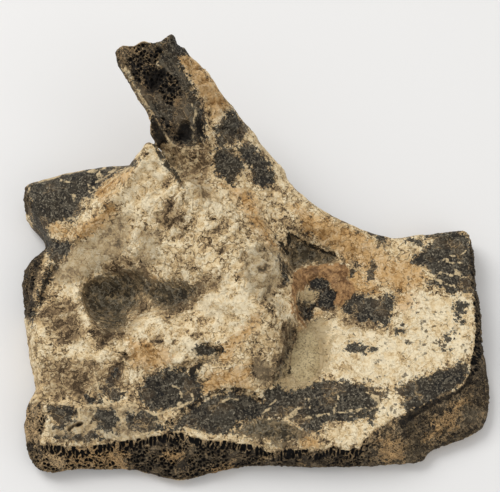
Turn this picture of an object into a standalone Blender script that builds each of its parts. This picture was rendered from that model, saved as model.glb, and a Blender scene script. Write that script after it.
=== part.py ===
"""A broken piece of fossil turtle shell: a plate of the under shell with its buttress, at life size.

It lies with the smooth outer face of the shell down and the inner face up, +X to the right and +Y to the
notch side, where the strut of the buttress leans out. The bone is one solid. The sandstone that still
sits in the corner between the buttress and the plate is a second one.
"""

import math

import bmesh
import bpy
import numpy as np
from mathutils import Matrix, Vector, noise

# Sizes below are in millimetres, and MM turns them into Blender's metres.
MM = 0.001

# Driving dimensions
PLATE_THICKNESS = 8.6
BUTTRESS_PEAK = 33.0
STRUT_TIP = 40.0
UNDERSIDE_RISE = 2.2
UNDERSIDE_LUMPS = 0.35
FLOOR_CUT = 0.4
EDGE_WALL = 1.4
GAP = 0.3

# Mesh sizes
OUTLINE_STEPS = 3
SLAB_VOXEL = 1.0
BONE_VOXEL = 1.0
BONE_TRIANGLES = 9800

# Sutures: the toothed seams where the next shell bones met this one, along the front and right edges
SUTURE_PITCH = 4.2
SUTURE_DEPTH = 1.0
SUTURE_END = 176.0
SUTURE_REACH = 6.0

# Where the bone ends near the floor, round from its front left corner: x, y and how wide its edge slopes
OUTLINE = [
    (-53, -58.2, 5), (-42, -57.5, 5.5), (-30, -57.4, 5.8), (-17.8, -60.4, 9.6), (-6, -57.3, 5),
    (6, -56.4, 3.2), (24, -56.6, 3.4), (42, -56, 8.6), (46, -52.8, 10), (54, -50, 12.4),
    (59.8, -46.2, 13.2), (61.7, -39, 10.6), (61, -28, 4.2), (60, -10, 2.4), (58.5, 4.6, 1.8),
    (55.4, 7, 1.8), (47, 6, 2), (37, 5.1, 2), (27, 7.6, 2), (19.6, 11.2, 2),
    (11.6, 18.2, 2), (3, 21.6, 2), (-10, 22.4, 2), (-30, 23, 1.8), (-44, 21.8, 1.8),
    (-59.4, 19.1, 2), (-60.8, 15, 2.2), (-59.2, 9, 2.2), (-53.6, 2.6, 1.8), (-57.4, 0.2, 3),
    (-60.5, -7, 4), (-59, -18, 3), (-57.2, -28, 2.6), (-55, -36.4, 1.8), (-57.6, -41.4, 3.2),
    (-57, -51, 3.6),
]

# Rounded forms raised from the plate, each a line of stations (x, y, height, half width)
NOTCH_LIP = [(58, 1, 9.8, 5), (48, 0.5, 9.4, 6), (38, 0, 10.2, 7), (28, 3, 12, 8), (19, 6, 15, 9)]
STRUT_ROOT = [(24, 3, 12.4, 9), (15, 7, 16, 11), (7, 10, 18.6, 12), (-1, 12.6, 21, 12), (-9, 15, 23.6, 10)]
BUTTRESS_CREST = [
    (-25.6, 16.4, BUTTRESS_PEAK, 7.5), (-20, 9, 30.5, 13), (-13, 1, 27.6, 16.6), (-6, -7, 26, 17),
    (-1.2, -14, 25.4, 14.6), (0.4, -20, 24, 13), (-1, -27, 20.6, 12.4), (-2, -33, 16, 10),
]
LEFT_CREST = [(-25.6, 16.4, BUTTRESS_PEAK, 7.5), (-33, 10.4, 26, 9), (-41, 6, 21, 9), (-50, 4, 15, 7)]
STUB = [(-60, 13, 14.8, 8.8), (-50, 13.6, 17, 9.2), (-40, 14.6, 19, 9), (-30, 15.6, 21.5, 8)]
BUTTRESS_FACE = [(-27, 8, 25, 15), (-22, -2, 20.4, 17), (-16, -10, 19, 16)]
LEFT_SHOULDER = [(-50, -4, 11.4, 9), (-40, 0, 16, 13), (-32, 2, 19.6, 14)]
LEFT_RIM = [(-56, -4, 11, 4.6), (-56, -14, 12.4, 6), (-53, -24, 13.4, 9)]
LOWER_RIDGE = [
    (-54, -27, 13.4, 15), (-40, -27, 15.6, 17), (-26, -26.4, 17, 18), (-14, -27, 18.2, 17),
    (-5, -30, 17.6, 13), (2, -34.4, 13.4, 8),
]
LOWER_SWELL = [(-54, -42, 12, 15), (-34, -42, 12.4, 15), (-16, -41, 12.2, 13), (-2, -44, 10.6, 11)]

# How widely one form runs into the next
SOFT_BLEND = 3.0

# Hollows pressed into it, each a line of stations (x, y, depth, half width)
BUTTRESS_PIT = [(-39, -11, 2.8, 7), (-36.4, -15, 4.2, 8), (-31, -19, 2.2, 7)]
BUTTRESS_VALLEY = [(-34, -14.6, 1.8, 7), (-24, -15.4, 2.2, 6.6), (-13, -15.4, 1.8, 5.6)]
STUB_CHANNEL = [(-53, 1, 4, 4.6), (-46, 4, 1.8, 4.6)]
NOTCH_HOLLOW = [(13.5, 0.4, 2.2, 4.6), (20, -1.6, 2, 5), (26, -3.4, 0.8, 4.6)]
PLATE_DISH = [(24, -18, 1.1, 17), (40, -20, 0.9, 16)]
STRUT_CREASE = [(-22, 20, 5, 2.6), (-17, 15.4, 4, 2.6), (-12, 11.4, 2.4, 2.6), (-8, 8, 0.8, 2.4)]

# The strut's middle line (x, y, height, half width), from its buried root to its broken tip
STRUT_LINE = [
    (5, 8, 9, 8.6), (0.8, 13, 12.4, 11.4), (-5.2, 18.4, 17, 11.8), (-12.2, 26.3, 23.8, 10.8),
    (-18.7, 34.6, 31, 9.5), (-23.8, 39.9, 36.4, 8.7), (-26.2, 43.2, STRUT_TIP, 8.2),
]
# The broken end slants: its left side runs this much further than its right
STRUT_END_SLANT = 0.5
STRUT_ACROSS = (0.86, 0.5, 0)
# Its section, as shares of the half width: across to the right, and up towards the inner face
STRUT_SECTION = [
    (-1, -0.2), (-0.45, 0.3), (0.2, 0.56), (0.74, 0.4), (1, -0.1), (0.62, -0.7), (-0.1, -0.86), (-0.72, -0.7),
]
SECTION_STEPS = 3
# Where the strut grows from the plate the two flow together: middle, radius and rounds of smoothing
ROOT_FILLET_MIDDLE = (-3, 17, 18)
ROOT_FILLET_RADIUS = 17
ROOT_FILLET_ROUNDS = 24

# The sandstone: a lens sunk in the bone's corner, with its weathered top sloping off the buttress
SANDSTONE_MIDDLE = (13.6, -29.4, 7.2)
SANDSTONE_RADII = (6.2, 11.2, 4.4)
SANDSTONE_TOP = 9.8
SANDSTONE_SLOPE = math.radians(11)


def soft_maximum(a, b, blend):
    """The larger of two heights, rounded over where they are nearly equal."""
    share = np.clip(0.5 + 0.5 * (a - b) / blend, 0, 1)
    return b + (a - b) * share + blend * share * (1 - share)


def along(x, y, stations):
    """Each point's distance to a line of stations, in half widths, and the third value of the nearest one."""
    nearest = np.full(x.shape, np.inf)
    value = np.zeros(x.shape)
    for (ax, ay, av, aw), (bx, by, bv, bw) in zip(stations, stations[1:]):
        length_squared = (bx - ax) ** 2 + (by - ay) ** 2
        share = np.clip(((x - ax) * (bx - ax) + (y - ay) * (by - ay)) / length_squared, 0, 1)
        off = np.hypot(x - ax - share * (bx - ax), y - ay - share * (by - ay))
        off = off / (aw + share * (bw - aw))
        closer = off < nearest
        nearest = np.where(closer, off, nearest)
        value = np.where(closer, av + share * (bv - av), value)
    return nearest, value


def raised(x, y, stations, fullness):
    """The height of a rounded form: fullness 0.5 is a dome's section, and 1 and more a softer ridge."""
    off, height = along(x, y, stations)
    return (height - PLATE_THICKNESS) * np.clip(1 - off**2, 0, 1) ** fullness


def pressed(x, y, stations):
    """The depth of a hollow with soft sides."""
    off, depth = along(x, y, stations)
    return depth * np.clip(1 - off**2, 0, 1) ** 1.5


def smooth_loop(corners, steps):
    """Points on a smooth closed curve through the corners, with any further values carried along it."""
    corners = [np.array(corner, float) for corner in corners]
    points = []
    for i, start in enumerate(corners):
        before, end, after = corners[i - 1], corners[(i + 1) % len(corners)], corners[(i + 2) % len(corners)]
        for t in np.arange(steps) / steps:
            curve = 2 * start + (end - before) * t + (2 * before - 5 * start + 4 * end - after) * t**2
            points.append(0.5 * (curve + (3 * start - before - 3 * end + after) * t**3))
    return points


def from_edge(x, y, outline):
    """How far each point lies inside the outline, how far round it is, and the edge's slope width there."""
    nearest = np.full(x.shape, np.inf)
    travelled = np.zeros(x.shape)
    slope = np.zeros(x.shape)
    walked = 0.0
    for (ax, ay, a_slope), (bx, by, b_slope) in zip(outline, outline[1:] + outline[:1]):
        length = math.hypot(bx - ax, by - ay)
        share = np.clip(((x - ax) * (bx - ax) + (y - ay) * (by - ay)) / length**2, 0, 1)
        off = np.hypot(x - ax - share * (bx - ax), y - ay - share * (by - ay))
        closer = off < nearest
        nearest = np.where(closer, off, nearest)
        travelled = np.where(closer, walked + share * length, travelled)
        slope = np.where(closer, a_slope + share * (b_slope - a_slope), slope)
        walked += length
    return nearest, travelled, slope


def lumps(x, y, z, size, strength):
    """A smooth random field over points, the same on each run."""
    seeds = np.stack([x, y, z], axis=-1) / size
    return strength * np.array([noise.fractal(Vector(p), 0.8, 2.1, 3) for p in seeds])


def inner_face(x, y):
    """Height of the inner face of the shell over the floor, before its edges slope down."""
    height = np.full(x.shape, PLATE_THICKNESS) + 0.9 * np.clip((x - 30) / 30, 0, 1) ** 2
    ridges = [
        (NOTCH_LIP, 1.2), (STRUT_ROOT, 0.9), (BUTTRESS_CREST, 0.62), (LEFT_CREST, 0.8),
        (STUB, 0.6), (BUTTRESS_FACE, 1.2), (LEFT_SHOULDER, 1.3), (LEFT_RIM, 1.1),
        (LOWER_RIDGE, 1.3), (LOWER_SWELL, 1.6),
    ]
    for stations, fullness in ridges:
        height = soft_maximum(height, PLATE_THICKNESS + raised(x, y, stations, fullness), SOFT_BLEND)
    for stations in (BUTTRESS_PIT, BUTTRESS_VALLEY, STUB_CHANNEL, NOTCH_HOLLOW, PLATE_DISH, STRUT_CREASE):
        height = height - pressed(x, y, stations)
    rough = np.clip((height - PLATE_THICKNESS) / 6, 0.15, 1)
    return height + rough * lumps(x, y, height, 7.5, 0.8)


def outer_face(x, y):
    """Height of the outer face, down on the floor: nearly flat under the buttress and rising to the edges."""
    spread = np.hypot((x + 2) / 62, (y + 20) / 42)
    rise = UNDERSIDE_RISE * np.clip((spread - 0.5) / 0.6, 0, 1) ** 1.5
    return rise + lumps(x, y, np.zeros(x.shape), 24, UNDERSIDE_LUMPS)


def edge_teeth(travelled):
    """Rounded teeth along the sutures, from -1 to 1, of two lengths that come and go."""
    phase = 2 * math.pi * travelled / SUTURE_PITCH
    return np.sin(phase) * (0.75 + 0.25 * np.sin(0.31 * phase))


def active(obj):
    bpy.ops.object.select_all(action="DESELECT")
    obj.select_set(True)
    bpy.context.view_layer.objects.active = obj
    return obj


def apply_all(obj):
    active(obj)
    for modifier in list(obj.modifiers):
        bpy.ops.object.modifier_apply(modifier=modifier.name)
    return obj


def remeshed(obj, voxel):
    remesh = obj.modifiers.new("even_faces", "REMESH")
    remesh.mode = "VOXEL"
    remesh.voxel_size = voxel * MM
    return apply_all(obj)


def smoothed(obj, name, rounds, group=""):
    smooth = obj.modifiers.new(name, "SMOOTH")
    smooth.factor = 0.5
    smooth.iterations = rounds
    smooth.vertex_group = group
    return apply_all(obj)


def outline_slab(outline):
    """A plain slab over the outline, as thick as the plate: its faces are shaped afterwards."""
    flat = bpy.data.curves.new("outline", "CURVE")
    flat.dimensions = "2D"
    flat.fill_mode = "BOTH"
    flat.extrude = 0.5 * PLATE_THICKNESS * MM
    spline = flat.splines.new("POLY")
    spline.points.add(len(outline) - 1)
    for point, (x, y, _) in zip(spline.points, outline):
        point.co = (x * MM, y * MM, 0, 1)
    spline.use_cyclic_u = True
    guide = bpy.data.objects.new("outline", flat)
    bpy.context.scene.collection.objects.link(guide)
    mesh = bpy.data.meshes.new_from_object(guide.evaluated_get(bpy.context.evaluated_depsgraph_get()))
    bpy.data.objects.remove(guide)
    caps = bmesh.new()
    caps.from_mesh(mesh)
    bmesh.ops.remove_doubles(caps, verts=caps.verts, dist=0.01 * MM)
    caps.to_mesh(mesh)
    caps.free()
    slab = bpy.data.objects.new("shell_bone", mesh)
    bpy.context.scene.collection.objects.link(slab)
    return remeshed(slab, SLAB_VOXEL)


def points_of(obj):
    """The object's points, one column for each of x, y and z, in millimetres."""
    points = np.empty(len(obj.data.vertices) * 3)
    obj.data.vertices.foreach_get("co", points)
    return points.reshape(-1, 3).T / MM


def shape_plate(slab, outline):
    """Moves the slab's points so that its two faces and its edges are those of the bone."""
    x, y, z = points_of(slab)
    share_up = np.clip(z / PLATE_THICKNESS + 0.5, 0, 1)
    to_edge, travelled, slope = from_edge(x, y, outline)
    toothed = (travelled < SUTURE_END) & (to_edge < SUTURE_REACH)
    slope = slope + SUTURE_DEPTH * edge_teeth(travelled) * toothed
    fall = np.clip(1 - to_edge / slope, 0, 1)
    top, bottom = inner_face(x, y), outer_face(x, y)
    edge_height = bottom + EDGE_WALL
    top = edge_height + (top - edge_height) * (1 - fall**1.25)
    placed = np.stack([x, y, bottom + (top - bottom) * share_up], axis=-1) * MM
    slab.data.vertices.foreach_set("co", placed.ravel())
    slab.data.update()
    return slab


def strut():
    """The buttress's free end, a stout bar lofted along its middle line."""
    shape = bmesh.new()
    middles = [Vector(station[:3]) for station in STRUT_LINE]
    section = smooth_loop(STRUT_SECTION, SECTION_STEPS)
    loops = []
    for i, (middle, station) in enumerate(zip(middles, STRUT_LINE)):
        heading = (middles[min(i + 1, len(middles) - 1)] - middles[max(i - 1, 0)]).normalized()
        across = Vector(STRUT_ACROSS)
        across = (across - heading * across.dot(heading)).normalized()
        up = across.cross(heading)
        slant = STRUT_END_SLANT * (i == len(middles) - 1)
        ring = [
            middle + station[3] * (across * a + up * b - heading * slant * (a - b)) for a, b in section
        ]
        verts = [shape.verts.new(point * MM) for point in ring]
        loops.append([shape.edges.new((a, b)) for a, b in zip(verts, verts[1:] + verts[:1])])
    for near, far in zip(loops, loops[1:]):
        bmesh.ops.bridge_loops(shape, edges=near + far)
    for end in (loops[0], loops[-1]):
        bmesh.ops.contextual_create(shape, geom=end)
    bmesh.ops.recalc_face_normals(shape, faces=shape.faces)
    mesh = bpy.data.meshes.new("strut")
    shape.to_mesh(mesh)
    shape.free()
    bar = bpy.data.objects.new("strut", mesh)
    bpy.context.scene.collection.objects.link(bar)
    return bar


def boolean(obj, operation, other):
    cut = obj.modifiers.new(operation.lower(), "BOOLEAN")
    cut.operation = operation
    cut.object = other
    cut.solver = "EXACT"
    return apply_all(obj)


def box(name, low, high):
    """A block between two corners in millimetres."""
    middle = [(a + b) / 2 * MM for a, b in zip(low, high)]
    bpy.ops.mesh.primitive_cube_add(size=1, location=middle)
    block = bpy.context.object
    block.name = name
    block.scale = [(b - a) * MM for a, b in zip(low, high)]
    bpy.ops.object.transform_apply(location=True, rotation=True, scale=True)
    return block


def sandstone_lens(name, grown):
    """The whole lens of sandstone, or its bed in the bone when it is grown by the gap."""
    bpy.ops.mesh.primitive_uv_sphere_add(segments=28, ring_count=16, radius=1)
    lens = bpy.context.object
    lens.name = name
    lens.location = [value * MM for value in SANDSTONE_MIDDLE]
    lens.scale = [(radius + grown) * MM for radius in SANDSTONE_RADII]
    bpy.ops.object.transform_apply(location=True, rotation=True, scale=True)
    return lens


def sandstone():
    """The sandstone left in the corner, with everything above its sloping top worn away."""
    fill = sandstone_lens("sandstone_fill", 0)
    reach = 2 * max(SANDSTONE_RADII)
    worn = box("worn_away", (-reach, -reach, 0), (reach, reach, reach))
    worn.location = (SANDSTONE_MIDDLE[0] * MM, SANDSTONE_MIDDLE[1] * MM, SANDSTONE_TOP * MM)
    worn.rotation_euler.y = SANDSTONE_SLOPE
    boolean(fill, "DIFFERENCE", worn)
    bpy.data.objects.remove(worn)
    return fill


def material(name, colour, roughness):
    made = bpy.data.materials.new(name)
    made.use_nodes = True
    shader = made.node_tree.nodes["Principled BSDF"]
    shader.inputs["Base Color"].default_value = (*colour, 1)
    shader.inputs["Roughness"].default_value = roughness
    return made


def finish(obj, surface):
    obj.data.materials.clear()
    obj.data.materials.append(surface)
    active(obj)
    bpy.ops.object.shade_smooth_by_angle(angle=math.radians(50))


def shell_bone():
    """The whole bone: plate, buttress and strut in one piece, lying on flats at one level."""
    outline = smooth_loop(OUTLINE, OUTLINE_STEPS)
    bone = shape_plate(outline_slab(outline), outline)
    bar = strut()
    boolean(bone, "UNION", bar)
    bpy.data.objects.remove(bar)
    remeshed(bone, BONE_VOXEL)
    smoothed(bone, "worn_edges", 2)
    away = np.linalg.norm(points_of(bone) - np.reshape(ROOT_FILLET_MIDDLE, (3, 1)), axis=0)
    group = bone.vertex_groups.new(name="root_fillet")
    for i, share in enumerate(np.clip(1.5 - 1.5 * away / ROOT_FILLET_RADIUS, 0, 1)):
        group.add([i], float(share), "REPLACE")
    smoothed(bone, "root_fillet", ROOT_FILLET_ROUNDS, group.name)
    thin = bone.modifiers.new("fewer_faces", "DECIMATE")
    triangles = sum(len(face.vertices) - 2 for face in bone.data.polygons)
    thin.ratio = BONE_TRIANGLES / triangles
    apply_all(bone)
    floor = box("floor_cutter", (-80, -80, -10), (80, 80, FLOOR_CUT))
    boolean(bone, "DIFFERENCE", floor)
    bpy.data.objects.remove(floor)
    return bone


def gather(objects, name):
    """Puts the pieces together in one collection."""
    group = bpy.data.collections.new(name)
    bpy.context.scene.collection.children.link(group)
    for obj in objects:
        for holder in list(obj.users_collection):
            holder.objects.unlink(obj)
        group.objects.link(obj)


def stand_on_origin(objects):
    """Moves all the pieces so that the part's box stands centred on the origin, with its flats at z = 0."""
    points = np.concatenate([points_of(obj) for obj in objects], axis=1)
    low, high = points.min(axis=1), points.max(axis=1)
    shift = Vector((-(low[0] + high[0]) / 2, -(low[1] + high[1]) / 2, -low[2])) * MM
    for obj in objects:
        obj.data.transform(Matrix.Translation(shift))
        obj.data.update()


def main():
    for obj in list(bpy.data.objects):
        bpy.data.objects.remove(obj)
    bone = shell_bone()
    bed = sandstone_lens("sandstone_bed", GAP)
    boolean(bone, "DIFFERENCE", bed)
    bpy.data.objects.remove(bed)
    fill = sandstone()
    finish(bone, material("fossil_bone", (0.42, 0.34, 0.23), 0.8))
    finish(fill, material("sandstone", (0.30, 0.26, 0.17), 0.95))
    stand_on_origin([bone, fill])
    gather([bone, fill], "turtle_shell")


main()
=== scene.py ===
"""Looks of a broken piece of fossil turtle shell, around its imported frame.

Outlines and lines on the bone are places in the view from above, in steps of a 500th of its width, from its
left and top edges. Other sizes are in millimetres: x to the right, y to the notched side and z up.
"""

import math

import bpy
import numpy as np
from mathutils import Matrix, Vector, noise


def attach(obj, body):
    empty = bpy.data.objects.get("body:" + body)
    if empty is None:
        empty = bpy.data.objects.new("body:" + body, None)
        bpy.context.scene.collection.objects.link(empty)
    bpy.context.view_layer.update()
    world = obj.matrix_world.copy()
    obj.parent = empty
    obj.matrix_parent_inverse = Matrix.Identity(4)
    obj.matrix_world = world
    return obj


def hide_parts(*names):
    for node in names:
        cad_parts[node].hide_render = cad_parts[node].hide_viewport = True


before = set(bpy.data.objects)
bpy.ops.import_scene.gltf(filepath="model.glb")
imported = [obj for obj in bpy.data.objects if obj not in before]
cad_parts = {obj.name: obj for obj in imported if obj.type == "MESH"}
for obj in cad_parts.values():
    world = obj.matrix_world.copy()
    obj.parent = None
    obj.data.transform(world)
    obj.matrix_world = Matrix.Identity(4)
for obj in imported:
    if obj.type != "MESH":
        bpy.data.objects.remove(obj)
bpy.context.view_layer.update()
MM = 0.001

# The view: a camera about half a metre above the bone, looking down at it from the front.
# The bone lies on a pale table, under one broad soft light from the upper left and a white room.
VIEW_TARGET = Vector((-0.3, 7.1, 11.6)) * MM
VIEW_DISTANCE = 450 * MM
VIEW_RISE = math.radians(68)
LENS = 124.6
SENSOR_WIDTH = 36
TABLE_SIZE = 3.0
TABLE_COLOUR = (0.80, 0.792, 0.78, 1)
TABLE_ROUGHNESS = 0.9
ROOM_WHITE = 0.62
WINDOW_SIZE = 0.7
WINDOW_PLACE = Vector((-0.62, 0.55, 0.95))
WINDOW_POWER = 8.8
BOARD_SIZE = 0.9
BOARD_PLACE = Vector((0.7, -0.5, 0.8))
BOARD_POWER = 1.6

bpy.context.scene.view_settings.view_transform = "Standard"
back = Vector((0, -math.cos(VIEW_RISE), math.sin(VIEW_RISE)))
bpy.ops.object.camera_add(
    location=VIEW_TARGET + back * VIEW_DISTANCE,
    rotation=(math.pi / 2 - VIEW_RISE, 0, 0),
)
camera = bpy.context.object
camera.data.lens = LENS
bpy.context.scene.camera = camera

bpy.ops.object.light_add(type="AREA", location=WINDOW_PLACE)
window = bpy.context.object
window.name = "window_light"
window.rotation_euler = (VIEW_TARGET - WINDOW_PLACE).to_track_quat("-Z", "Y").to_euler()
window.data.size = WINDOW_SIZE
window.data.energy = WINDOW_POWER

bpy.ops.object.light_add(type="AREA", location=BOARD_PLACE)
board = bpy.context.object
board.name = "white_board_light"
board.rotation_euler = (VIEW_TARGET - BOARD_PLACE).to_track_quat("-Z", "Y").to_euler()
board.data.size = BOARD_SIZE
board.data.energy = BOARD_POWER

room = bpy.data.worlds.new("white_room")
room.use_nodes = True
room.node_tree.nodes["Background"].inputs["Color"].default_value = (1.0, 1.0, 1.0, 1)
room.node_tree.nodes["Background"].inputs["Strength"].default_value = ROOM_WHITE
bpy.context.scene.world = room

bpy.ops.mesh.primitive_plane_add(size=TABLE_SIZE)
table = bpy.context.object
table.name = "pale_table"
paper = bpy.data.materials.new("pale_table")
paper.use_nodes = True
paper.node_tree.nodes["Principled BSDF"].inputs["Base Color"].default_value = TABLE_COLOUR
paper.node_tree.nodes["Principled BSDF"].inputs["Roughness"].default_value = TABLE_ROUGHNESS
table.data.materials.append(paper)

# The bone: one piece of mineral-filled turtle shell, hard and dull. Its inner face carries the rough
# buttress, its broken faces show spongy bone, and its front and right edges are combed sutures.
# The worked solid is remeshed finely, carved in its broad forms and then given its grain.
SHAPE_VOXEL = 0.5 * MM
GRAIN_VOXEL = 0.26 * MM
BONE_TRIANGLES = 192000
FACET_ROUNDS = 14
BED_GROWTH = (1.14, 1.08, 1)
BED_DEPTH = 0.05
WELD_DISTANCE = 0.01 * MM
VIEW_STEPS = 500
VIEW_MIDDLE = np.array([250, 246])
VIEW_SCALE = LENS / SENSOR_WIDTH * VIEW_STEPS
SCATTER = np.array([12.9, 78.2, 37.7])

up_in_view = np.array([0, math.sin(VIEW_RISE), math.cos(VIEW_RISE)])


def select_only(obj):
    bpy.ops.object.select_all(action="DESELECT")
    obj.select_set(True)
    bpy.context.view_layer.objects.active = obj


def apply_modifier(obj, kind, **settings):
    """Adds one modifier with its settings and applies it."""
    select_only(obj)
    modifier = obj.modifiers.new(kind.lower(), kind)
    for name, value in settings.items():
        setattr(modifier, name, value)
    bpy.ops.object.modifier_apply(modifier=modifier.name)


def mesh_copy(node, name):
    """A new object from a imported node's mesh, with its loose triangles joined up."""
    piece = bpy.data.objects.new(name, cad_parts[node].data.copy())
    bpy.context.collection.objects.link(piece)
    piece.data.materials.clear()
    select_only(piece)
    bpy.ops.object.mode_set(mode="EDIT")
    bpy.ops.mesh.select_all(action="SELECT")
    bpy.ops.mesh.remove_doubles(threshold=WELD_DISTANCE)
    bpy.ops.object.mode_set(mode="OBJECT")
    return piece


def points_of(piece):
    points = np.empty(len(piece.data.vertices) * 3, np.float32)
    piece.data.vertices.foreach_get("co", points)
    return points.reshape(-1, 3).astype(float) / MM


def normals_of(piece):
    normals = np.empty(len(piece.data.vertices) * 3, np.float32)
    piece.data.vertex_normals.foreach_get("vector", normals)
    return normals.reshape(-1, 3).astype(float)


def place_points(piece, points):
    piece.data.vertices.foreach_set("co", (points * MM).astype(np.float32).ravel())
    piece.data.update()


def keep(piece, name, values):
    """Writes one number per point, for the material to read."""
    layer = piece.data.attributes.new(name, "FLOAT", "POINT")
    layer.data.foreach_set("value", np.asarray(values, np.float32))


def from_above(points):
    """Places as the view shows them: steps of a 500th of its width, from its left and top edges."""
    from_eye = points - np.array(VIEW_TARGET + back * VIEW_DISTANCE) / MM
    size = VIEW_SCALE / (from_eye @ -np.array(back))
    return VIEW_MIDDLE + np.stack([from_eye[:, 0] * size, -(from_eye @ up_in_view) * size], axis=-1)


def near(places, path):
    """Distance to a line through the given places."""
    nearest = np.full(len(places), np.inf)
    for (ax, ay), (bx, by) in zip(path, path[1:]):
        share = (places[:, 0] - ax) * (bx - ax) + (places[:, 1] - ay) * (by - ay)
        share = np.clip(share / ((bx - ax) ** 2 + (by - ay) ** 2), 0, 1)
        gap = np.hypot(places[:, 0] - ax - share * (bx - ax), places[:, 1] - ay - share * (by - ay))
        nearest = np.minimum(nearest, gap)
    return nearest


def depth_in(places, outline):
    """How far inside an outline each place lies, and negative outside it."""
    x, y = places.T
    within = np.zeros(len(places), bool)
    for (ax, ay), (bx, by) in zip(outline, outline[1:] + outline[:1]):
        if ay != by:
            within ^= ((ay > y) != (by > y)) & (x < ax + (y - ay) * (bx - ax) / (by - ay))
    return np.where(within, 1, -1) * near(places, outline + outline[:1])


def depth_in_any(places, outlines):
    return np.max([depth_in(places, outline) for outline in outlines], axis=0)


def near_any(places, paths):
    return np.min([near(places, path) for path in paths], axis=0)


def ramp(values, low, high):
    """0 below low, 1 above high, and a smooth step between."""
    t = np.clip((values - low) / (high - low), 0, 1)
    return t * t * (3 - 2 * t)


def fractal(points, size, octaves=2):
    """Smooth noise whose lumps are about this many millimetres apart."""
    return np.array([noise.fractal(p, 1.0, 2.0, octaves) for p in (points / size).tolist()])


def crags(points, size, octaves):
    """Sharp-crested noise with a mean of 0 and a spread of 1."""
    falloff, finer, offset, gain = 0.9, 2.1, 1.0, 2.0
    heights = [
        noise.ridged_multi_fractal(p, falloff, finer, octaves, offset, gain) for p in (points / size).tolist()
    ]
    return (heights - np.mean(heights)) / np.std(heights)


def flakes(points, size):
    """Shards about so many millimetres across, each with its own tilt and a step at its border."""
    middles = np.array([noise.voronoi(p)[1][0][:] for p in (points / size).tolist()])
    turn = 40 * np.sin(middles @ SCATTER)
    offset = points / size - middles
    return offset[:, 0] * np.cos(turn) + offset[:, 1] * np.sin(turn) + 0.3 * np.sin(3.7 * turn)


def cell_walls(points, size, thickness):
    """0 on the walls between random cells of this size in millimetres, and 1 well inside them."""
    found = np.array([noise.voronoi(p)[0][:2] for p in (points / size).tolist()])
    return ramp(found[:, 1] - found[:, 0], 0.04, thickness)


def pulled(points, centre, radius, right, up):
    """Points near a place in the view, drawn across it by so many of its steps."""
    share = ramp(radius - np.hypot(*(from_above(points) - centre).T), 0, radius)
    shift = np.array([right, 0, 0]) + up * up_in_view
    return points + share[:, None] * shift * VIEW_DISTANCE / MM / VIEW_SCALE


bone = mesh_copy("shell_bone", "fossil_bone")
bed = mesh_copy("sandstone_fill", "filled_bed")
bed_middle = points_of(bed).mean(0)
place_points(bed, (points_of(bed) - bed_middle) * BED_GROWTH + bed_middle - np.array([0, 0, BED_DEPTH]))
bpy.ops.object.select_all(action="DESELECT")
bed.select_set(True)
bone.select_set(True)
bpy.context.view_layer.objects.active = bone
bpy.ops.object.join()
apply_modifier(bone, "REMESH", mode="VOXEL", voxel_size=SHAPE_VOXEL)
apply_modifier(bone, "SMOOTH", factor=0.5, iterations=FACET_ROUNDS)

# Broad forms, carved before the grain, as outlines and lines in the view from above
STRUT_FACE = [
    (112, 46), (110, 60), (124, 76), (135, 91), (147, 110), (154, 121), (165, 134), (174, 144),
    (186, 149), (204, 149), (205, 137), (201, 127), (197, 118), (198, 101), (190, 86), (180, 70),
    (172, 58), (163, 44), (152, 40), (130, 42),
]
# A place, its radius, and how far its bone is drawn to the right and up
STRUT_PULLS = [
    ((122, 51), 15, 0, 6), ((139, 47), 14, 0, 4), ((170, 43), 11, 0, 8), ((160, 135), 17, -7, 0),
    ((166, 143), 12, -8, 0),
]
STRUT_WEB = [
    [(106, 40), (152, 36), (164, 52), (155, 64), (157, 70), (167, 70), (182, 86), (182, 102),
     (172, 108), (163, 102), (158, 90), (148, 94), (140, 82), (133, 77), (122, 62), (106, 60)],
    [(158, 116), (172, 120), (182, 130), (182, 146), (168, 138)],
]
STRUT_STEP = [(170, 134), (176, 140), (181, 144), (192, 148), (205, 147.5)]
STRUT_VOIDS = [
    [(145, 76), (156, 68), (166, 69), (164, 79), (158, 87), (152, 94), (148, 86)],
    [(180, 124), (188, 122), (192, 138), (186, 143), (177, 139)],
    [(196, 118), (203, 121), (205, 137), (199, 137), (196, 128)],
]
STRUT_RIDGE = [(172, 38), (175, 50), (183, 65), (193, 80), (201, 96), (205, 112), (208, 130), (208, 146)]
MOUND_CREASE = [(155, 128), (163, 147), (172, 163), (183, 178), (196, 196)]
MOUND_CRESTS = [
    [(151, 146), (138, 170), (126, 186), (107, 207), (92, 222), (76, 238)],
    [(152, 146), (163, 162), (174, 179)], [(137, 214), (139, 224), (134, 240), (131, 260)],
    [(79, 287), (79, 298), (83, 313), (90, 326)], [(50, 262), (41, 280), (37, 296), (32, 313)],
    [(290, 289), (293, 302), (293, 314), (298, 322), (304, 328)],
    [(244, 268), (243, 283), (250, 291), (259, 293)], [(471, 394), (478, 382)],
]
PIT = [
    (81, 294), (86, 283), (99, 277), (116, 273), (129, 271), (138, 278), (144, 286), (141, 297),
    (138, 306), (128, 314), (126, 324), (119, 331), (106, 332), (94, 324), (88, 312), (83, 304),
]
VALLEY = [
    (128, 269), (140, 271), (150, 279), (160, 280), (176, 281), (190, 284), (200, 282), (199, 292),
    (189, 303), (174, 310), (158, 308), (148, 299), (140, 292),
]
RIM_GROOVE = [(56, 268), (50, 280), (44, 294), (40, 306), (35, 317)]
POCKET = [(194, 350), (200, 344), (208, 342), (216, 346), (224, 351), (215, 354), (205, 357), (198, 356)]
OVERHANG = [(180, 371), (187, 366), (195, 362), (203, 361), (213, 358), (221, 351)]
CRACK = [
    (166, 424), (175, 418), (186, 410), (202, 399), (213, 393), (223, 390), (233, 388), (245, 391),
    (255, 394),
]
BELOW_CRACK = [
    (166, 426), (175, 420), (187, 411), (203, 400), (214, 394), (233, 390), (247, 393), (256, 398),
    (262, 405), (250, 424), (220, 424), (190, 420), (176, 426),
]
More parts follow.
